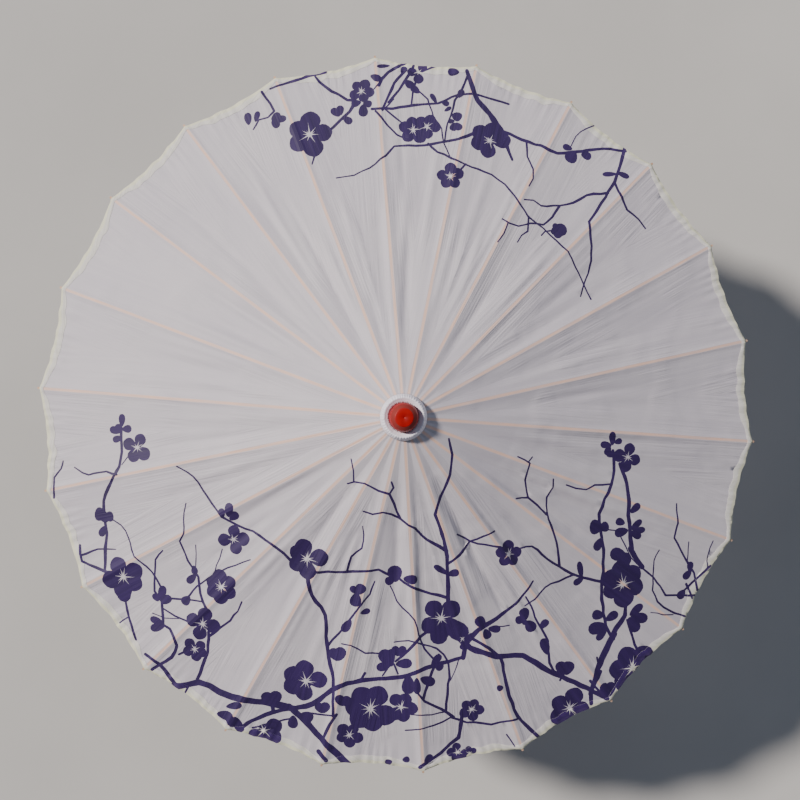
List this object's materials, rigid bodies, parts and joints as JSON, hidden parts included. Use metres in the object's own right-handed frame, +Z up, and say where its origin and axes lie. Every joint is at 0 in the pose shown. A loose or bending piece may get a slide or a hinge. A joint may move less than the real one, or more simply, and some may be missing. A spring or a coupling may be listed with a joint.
{
  "type": "oil paper umbrella",
  "caption": "Round bamboo-ribbed parasol with a printed cloth canopy, red top cap, sliding runner and turned wooden handle, shown open.",
  "frame": {"origin": "centre of the lower end face of the handle, on the shaft's axis", "axes": "+Z runs up the shaft from the handle to the cap; +Y points along the first long rib"},
  "size_m": [0.843, 0.8514, 0.572],
  "materials": {
    "shaft_wood": "varnished bamboo",
    "handle_wood": "dark varnish",
    "plug_black": "gloss",
    "hub_wood": "oiled",
    "wire": "drawn wire",
    "cap_red": "gloss lacquer",
    "collar_cloth": "gathered cotton",
    "canopy_cloth": "oiled fine weave",
    "canopy_print": "printed on the canopy cloth",
    "hem_cloth": "folded edge",
    "catch_bamboo": "plain",
    "rib_bamboo": "split bamboo",
    "stretcher_bamboo": "split bamboo"
  },
  "bodies": {
    "frame": {"shaft": "shaft_wood", "handle": "handle_wood", "end_plug": "plug_black", "top_hub": "hub_wood", "hub_tie_wire": "wire", "stop_pin": "wire", "cap": "cap_red", "collar": "collar_cloth", "canopy": "canopy_cloth", "rim_hem": "hem_cloth", "catch_pin": "wire", "catch_spring": "wire"},
    "rib_arm_01": {"rib_01": "rib_bamboo"},
    "stretcher_arm_01": {"stretcher_01": "stretcher_bamboo"},
    "rib_arm_02": {"rib_02": "rib_bamboo"},
    "stretcher_arm_02": {"stretcher_02": "stretcher_bamboo"},
    "rib_arm_03": {"rib_03": "rib_bamboo"},
    "stretcher_arm_03": {"stretcher_03": "stretcher_bamboo"},
    "rib_arm_04": {"rib_04": "rib_bamboo"},
    "stretcher_arm_04": {"stretcher_04": "stretcher_bamboo"},
    "rib_arm_05": {"rib_05": "rib_bamboo"},
    "stretcher_arm_05": {"stretcher_05": "stretcher_bamboo"},
    "rib_arm_06": {"rib_06": "rib_bamboo"},
    "stretcher_arm_06": {"stretcher_06": "stretcher_bamboo"},
    "rib_arm_07": {"rib_07": "rib_bamboo"},
    "stretcher_arm_07": {"stretcher_07": "stretcher_bamboo"},
    "rib_arm_08": {"rib_08": "rib_bamboo"},
    "stretcher_arm_08": {"stretcher_08": "stretcher_bamboo"},
    "rib_arm_09": {"rib_09": "rib_bamboo"},
    "stretcher_arm_09": {"stretcher_09": "stretcher_bamboo"},
    "rib_arm_10": {"rib_10": "rib_bamboo"},
    "stretcher_arm_10": {"stretcher_10": "stretcher_bamboo"},
    "rib_arm_11": {"rib_11": "rib_bamboo"},
    "stretcher_arm_11": {"stretcher_11": "stretcher_bamboo"},
    "rib_arm_12": {"rib_12": "rib_bamboo"},
    "stretcher_arm_12": {"stretcher_12": "stretcher_bamboo"},
    "rib_arm_13": {"rib_13": "rib_bamboo"},
    "stretcher_arm_13": {"stretcher_13": "stretcher_bamboo"},
    "rib_arm_14": {"rib_14": "rib_bamboo"},
    "stretcher_arm_14": {"stretcher_14": "stretcher_bamboo"},
    "rib_arm_15": {"rib_15": "rib_bamboo"},
    "stretcher_arm_15": {"stretcher_15": "stretcher_bamboo"},
    "rib_arm_16": {"rib_16": "rib_bamboo"},
    "stretcher_arm_16": {"stretcher_16": "stretcher_bamboo"},
    "rib_arm_17": {"rib_17": "rib_bamboo"},
    "stretcher_arm_17": {"stretcher_17": "stretcher_bamboo"},
    "rib_arm_18": {"rib_18": "rib_bamboo"},
    "stretcher_arm_18": {"stretcher_18": "stretcher_bamboo"},
    "rib_arm_19": {"rib_19": "rib_bamboo"},
    "stretcher_arm_19": {"stretcher_19": "stretcher_bamboo"},
    "rib_arm_20": {"rib_20": "rib_bamboo"},
    "stretcher_arm_20": {"stretcher_20": "stretcher_bamboo"},
    "rib_arm_21": {"rib_21": "rib_bamboo"},
    "stretcher_arm_21": {"stretcher_21": "stretcher_bamboo"},
    "rib_arm_22": {"rib_22": "rib_bamboo"},
    "stretcher_arm_22": {"stretcher_22": "stretcher_bamboo"},
    "runner": {"runner": "hub_wood", "runner_tie_wire": "wire"},
    "latch": {"catch": "catch_bamboo"}
  },
  "joints": [
    {"name": "fold", "type": "hinge", "parent": "frame", "child": "rib_arm_01", "pos_m": [0, 0.012, 0.545], "axis": [-1, 0, 0], "range_deg": [0, 67], "deforming": ["canopy", "rim_hem", "catch"]},
    {"name": "stretcher_hinge_01", "type": "hinge", "parent": "rib_arm_01", "child": "stretcher_arm_01", "pos_m": [0, 0.19618, 0.47796], "axis": [-1, 0, 0], "range_deg": [-134, 0]},
    {"name": "rib_hinge_02", "type": "hinge", "parent": "frame", "child": "rib_arm_02", "pos_m": [-0.00338, 0.01151, 0.545], "axis": [-0.9595, -0.2817, 0], "range_deg": [0, 67]},
    {"name": "stretcher_hinge_02", "type": "hinge", "parent": "rib_arm_02", "child": "stretcher_arm_02", "pos_m": [-0.05527, 0.18823, 0.47796], "axis": [-0.9595, -0.2817, 0], "range_deg": [-134, 0]},
    {"name": "rib_hinge_03", "type": "hinge", "parent": "frame", "child": "rib_arm_03", "pos_m": [-0.00649, 0.01009, 0.545], "axis": [-0.8413, -0.5406, 0], "range_deg": [0, 67]},
    {"name": "stretcher_hinge_03", "type": "hinge", "parent": "rib_arm_03", "child": "stretcher_arm_03", "pos_m": [-0.10606, 0.16504, 0.47796], "axis": [-0.8413, -0.5406, 0], "range_deg": [-134, 0]},
    {"name": "rib_hinge_04", "type": "hinge", "parent": "frame", "child": "rib_arm_04", "pos_m": [-0.00907, 0.00786, 0.545], "axis": [-0.6549, -0.7557, 0], "range_deg": [0, 67]},
    {"name": "stretcher_hinge_04", "type": "hinge", "parent": "rib_arm_04", "child": "stretcher_arm_04", "pos_m": [-0.14826, 0.12847, 0.47796], "axis": [-0.6549, -0.7557, 0], "range_deg": [-134, 0]},
    {"name": "rib_hinge_05", "type": "hinge", "parent": "frame", "child": "rib_arm_05", "pos_m": [-0.01092, 0.00498, 0.545], "axis": [-0.4154, -0.9096, 0], "range_deg": [0, 67]},
    {"name": "stretcher_hinge_05", "type": "hinge", "parent": "rib_arm_05", "child": "stretcher_arm_05", "pos_m": [-0.17845, 0.0815, 0.47796], "axis": [-0.4154, -0.9096, 0], "range_deg": [-134, 0]},
    {"name": "rib_hinge_06", "type": "hinge", "parent": "frame", "child": "rib_arm_06", "pos_m": [-0.01188, 0.00171, 0.545], "axis": [-0.1423, -0.9898, 0], "range_deg": [0, 67]},
    {"name": "stretcher_hinge_06", "type": "hinge", "parent": "rib_arm_06", "child": "stretcher_arm_06", "pos_m": [-0.19418, 0.02792, 0.47796], "axis": [-0.1423, -0.9898, 0], "range_deg": [-134, 0]},
    {"name": "rib_hinge_07", "type": "hinge", "parent": "frame", "child": "rib_arm_07", "pos_m": [-0.01188, -0.00171, 0.545], "axis": [0.1423, -0.9898, 0], "range_deg": [0, 67]},
    {"name": "stretcher_hinge_07", "type": "hinge", "parent": "rib_arm_07", "child": "stretcher_arm_07", "pos_m": [-0.19418, -0.02792, 0.47796], "axis": [0.1423, -0.9898, 0], "range_deg": [-134, 0]},
    {"name": "rib_hinge_08", "type": "hinge", "parent": "frame", "child": "rib_arm_08", "pos_m": [-0.01092, -0.00498, 0.545], "axis": [0.4154, -0.9096, 0], "range_deg": [0, 67]},
    {"name": "stretcher_hinge_08", "type": "hinge", "parent": "rib_arm_08", "child": "stretcher_arm_08", "pos_m": [-0.17845, -0.0815, 0.47796], "axis": [0.4154, -0.9096, 0], "range_deg": [-134, 0]},
    {"name": "rib_hinge_09", "type": "hinge", "parent": "frame", "child": "rib_arm_09", "pos_m": [-0.00907, -0.00786, 0.545], "axis": [0.6549, -0.7557, 0], "range_deg": [0, 67]},
    {"name": "stretcher_hinge_09", "type": "hinge", "parent": "rib_arm_09", "child": "stretcher_arm_09", "pos_m": [-0.14826, -0.12847, 0.47796], "axis": [0.6549, -0.7557, 0], "range_deg": [-134, 0]},
    {"name": "rib_hinge_10", "type": "hinge", "parent": "frame", "child": "rib_arm_10", "pos_m": [-0.00649, -0.01009, 0.545], "axis": [0.8413, -0.5406, 0], "range_deg": [0, 67]},
    {"name": "stretcher_hinge_10", "type": "hinge", "parent": "rib_arm_10", "child": "stretcher_arm_10", "pos_m": [-0.10606, -0.16504, 0.47796], "axis": [0.8413, -0.5406, 0], "range_deg": [-134, 0]},
    {"name": "rib_hinge_11", "type": "hinge", "parent": "frame", "child": "rib_arm_11", "pos_m": [-0.00338, -0.01151, 0.545], "axis": [0.9595, -0.2817, 0], "range_deg": [0, 67]},
    {"name": "stretcher_hinge_11", "type": "hinge", "parent": "rib_arm_11", "child": "stretcher_arm_11", "pos_m": [-0.05527, -0.18823, 0.47796], "axis": [0.9595, -0.2817, 0], "range_deg": [-134, 0]},
    {"name": "rib_hinge_12", "type": "hinge", "parent": "frame", "child": "rib_arm_12", "pos_m": [0, -0.012, 0.545], "axis": [1, 0, 0], "range_deg": [0, 67]},
    {"name": "stretcher_hinge_12", "type": "hinge", "parent": "rib_arm_12", "child": "stretcher_arm_12", "pos_m": [0, -0.19618, 0.47796], "axis": [1, 0, 0], "range_deg": [-134, 0]},
    {"name": "rib_hinge_13", "type": "hinge", "parent": "frame", "child": "rib_arm_13", "pos_m": [0.00338, -0.01151, 0.545], "axis": [0.9595, 0.2817, 0], "range_deg": [0, 67]},
    {"name": "stretcher_hinge_13", "type": "hinge", "parent": "rib_arm_13", "child": "stretcher_arm_13", "pos_m": [0.05527, -0.18823, 0.47796], "axis": [0.9595, 0.2817, 0], "range_deg": [-134, 0]},
    {"name": "rib_hinge_14", "type": "hinge", "parent": "frame", "child": "rib_arm_14", "pos_m": [0.00649, -0.01009, 0.545], "axis": [0.8413, 0.5406, 0], "range_deg": [0, 67]},
    {"name": "stretcher_hinge_14", "type": "hinge", "parent": "rib_arm_14", "child": "stretcher_arm_14", "pos_m": [0.10606, -0.16504, 0.47796], "axis": [0.8413, 0.5406, 0], "range_deg": [-134, 0]},
    {"name": "rib_hinge_15", "type": "hinge", "parent": "frame", "child": "rib_arm_15", "pos_m": [0.00907, -0.00786, 0.545], "axis": [0.6549, 0.7557, 0], "range_deg": [0, 67]},
    {"name": "stretcher_hinge_15", "type": "hinge", "parent": "rib_arm_15", "child": "stretcher_arm_15", "pos_m": [0.14826, -0.12847, 0.47796], "axis": [0.6549, 0.7557, 0], "range_deg": [-134, 0]},
    {"name": "rib_hinge_16", "type": "hinge", "parent": "frame", "child": "rib_arm_16", "pos_m": [0.01092, -0.00498, 0.545], "axis": [0.4154, 0.9096, 0], "range_deg": [0, 67]},
    {"name": "stretcher_hinge_16", "type": "hinge", "parent": "rib_arm_16", "child": "stretcher_arm_16", "pos_m": [0.17845, -0.0815, 0.47796], "axis": [0.4154, 0.9096, 0], "range_deg": [-134, 0]},
    {"name": "rib_hinge_17", "type": "hinge", "parent": "frame", "child": "rib_arm_17", "pos_m": [0.01188, -0.00171, 0.545], "axis": [0.1423, 0.9898, 0], "range_deg": [0, 67]},
    {"name": "stretcher_hinge_17", "type": "hinge", "parent": "rib_arm_17", "child": "stretcher_arm_17", "pos_m": [0.19418, -0.02792, 0.47796], "axis": [0.1423, 0.9898, 0], "range_deg": [-134, 0]},
    {"name": "rib_hinge_18", "type": "hinge", "parent": "frame", "child": "rib_arm_18", "pos_m": [0.01188, 0.00171, 0.545], "axis": [-0.1423, 0.9898, 0], "range_deg": [0, 67]},
    {"name": "stretcher_hinge_18", "type": "hinge", "parent": "rib_arm_18", "child": "stretcher_arm_18", "pos_m": [0.19418, 0.02792, 0.47796], "axis": [-0.1423, 0.9898, 0], "range_deg": [-134, 0]},
    {"name": "rib_hinge_19", "type": "hinge", "parent": "frame", "child": "rib_arm_19", "pos_m": [0.01092, 0.00498, 0.545], "axis": [-0.4154, 0.9096, 0], "range_deg": [0, 67]},
    {"name": "stretcher_hinge_19", "type": "hinge", "parent": "rib_arm_19", "child": "stretcher_arm_19", "pos_m": [0.17845, 0.0815, 0.47796], "axis": [-0.4154, 0.9096, 0], "range_deg": [-134, 0]},
    {"name": "rib_hinge_20", "type": "hinge", "parent": "frame", "child": "rib_arm_20", "pos_m": [0.00907, 0.00786, 0.545], "axis": [-0.6549, 0.7557, 0], "range_deg": [0, 67]},
    {"name": "stretcher_hinge_20", "type": "hinge", "parent": "rib_arm_20", "child": "stretcher_arm_20", "pos_m": [0.14826, 0.12847, 0.47796], "axis": [-0.6549, 0.7557, 0], "range_deg": [-134, 0]},
    {"name": "rib_hinge_21", "type": "hinge", "parent": "frame", "child": "rib_arm_21", "pos_m": [0.00649, 0.01009, 0.545], "axis": [-0.8413, 0.5406, 0], "range_deg": [0, 67]},
    {"name": "stretcher_hinge_21", "type": "hinge", "parent": "rib_arm_21", "child": "stretcher_arm_21", "pos_m": [0.10606, 0.16504, 0.47796], "axis": [-0.8413, 0.5406, 0], "range_deg": [-134, 0]},
    {"name": "rib_hinge_22", "type": "hinge", "parent": "frame", "child": "rib_arm_22", "pos_m": [0.00338, 0.01151, 0.545], "axis": [-0.9595, 0.2817, 0], "range_deg": [0, 67]},
    {"name": "stretcher_hinge_22", "type": "hinge", "parent": "rib_arm_22", "child": "stretcher_arm_22", "pos_m": [0.05527, 0.18823, 0.47796], "axis": [-0.9595, 0.2817, 0], "range_deg": [-134, 0]},
    {"name": "runner_hinge", "type": "hinge", "parent": "stretcher_arm_01", "child": "runner", "pos_m": [0, 0.012, 0.41093], "axis": [-1, 0, 0], "range_deg": [0, 67]},
    {"name": "catch_press", "type": "hinge", "parent": "frame", "child": "latch", "pos_m": [0, 0, 0.35093], "axis": [0, -1, 0], "range_deg": [0, 7.5], "stiffness_Nm_per_rad": 0.3, "springref_deg": -5.73, "deforming": ["catch_spring"]}
  ],
  "couplings": [
    {"joint": "stretcher_hinge_01", "follows": "fold", "ratio": -2},
    {"joint": "rib_hinge_02", "follows": "fold", "ratio": 1},
    {"joint": "stretcher_hinge_02", "follows": "fold", "ratio": -2},
    {"joint": "rib_hinge_03", "follows": "fold", "ratio": 1},
    {"joint": "stretcher_hinge_03", "follows": "fold", "ratio": -2},
    {"joint": "rib_hinge_04", "follows": "fold", "ratio": 1},
    {"joint": "stretcher_hinge_04", "follows": "fold", "ratio": -2},
    {"joint": "rib_hinge_05", "follows": "fold", "ratio": 1},
    {"joint": "stretcher_hinge_05", "follows": "fold", "ratio": -2},
    {"joint": "rib_hinge_06", "follows": "fold", "ratio": 1},
    {"joint": "stretcher_hinge_06", "follows": "fold", "ratio": -2},
    {"joint": "rib_hinge_07", "follows": "fold", "ratio": 1},
    {"joint": "stretcher_hinge_07", "follows": "fold", "ratio": -2},
    {"joint": "rib_hinge_08", "follows": "fold", "ratio": 1},
    {"joint": "stretcher_hinge_08", "follows": "fold", "ratio": -2},
    {"joint": "rib_hinge_09", "follows": "fold", "ratio": 1},
    {"joint": "stretcher_hinge_09", "follows": "fold", "ratio": -2},
    {"joint": "rib_hinge_10", "follows": "fold", "ratio": 1},
    {"joint": "stretcher_hinge_10", "follows": "fold", "ratio": -2},
    {"joint": "rib_hinge_11", "follows": "fold", "ratio": 1},
    {"joint": "stretcher_hinge_11", "follows": "fold", "ratio": -2},
    {"joint": "rib_hinge_12", "follows": "fold", "ratio": 1},
    {"joint": "stretcher_hinge_12", "follows": "fold", "ratio": -2},
    {"joint": "rib_hinge_13", "follows": "fold", "ratio": 1},
    {"joint": "stretcher_hinge_13", "follows": "fold", "ratio": -2},
    {"joint": "rib_hinge_14", "follows": "fold", "ratio": 1},
    {"joint": "stretcher_hinge_14", "follows": "fold", "ratio": -2},
    {"joint": "rib_hinge_15", "follows": "fold", "ratio": 1},
    {"joint": "stretcher_hinge_15", "follows": "fold", "ratio": -2},
    {"joint": "rib_hinge_16", "follows": "fold", "ratio": 1},
    {"joint": "stretcher_hinge_16", "follows": "fold", "ratio": -2},
    {"joint": "rib_hinge_17", "follows": "fold", "ratio": 1},
    {"joint": "stretcher_hinge_17", "follows": "fold", "ratio": -2},
    {"joint": "rib_hinge_18", "follows": "fold", "ratio": 1},
    {"joint": "stretcher_hinge_18", "follows": "fold", "ratio": -2},
    {"joint": "rib_hinge_19", "follows": "fold", "ratio": 1},
    {"joint": "stretcher_hinge_19", "follows": "fold", "ratio": -2},
    {"joint": "rib_hinge_20", "follows": "fold", "ratio": 1},
    {"joint": "stretcher_hinge_20", "follows": "fold", "ratio": -2},
    {"joint": "rib_hinge_21", "follows": "fold", "ratio": 1},
    {"joint": "stretcher_hinge_21", "follows": "fold", "ratio": -2},
    {"joint": "rib_hinge_22", "follows": "fold", "ratio": 1},
    {"joint": "stretcher_hinge_22", "follows": "fold", "ratio": -2},
    {"joint": "runner_hinge", "follows": "fold", "ratio": 1}
  ]
}
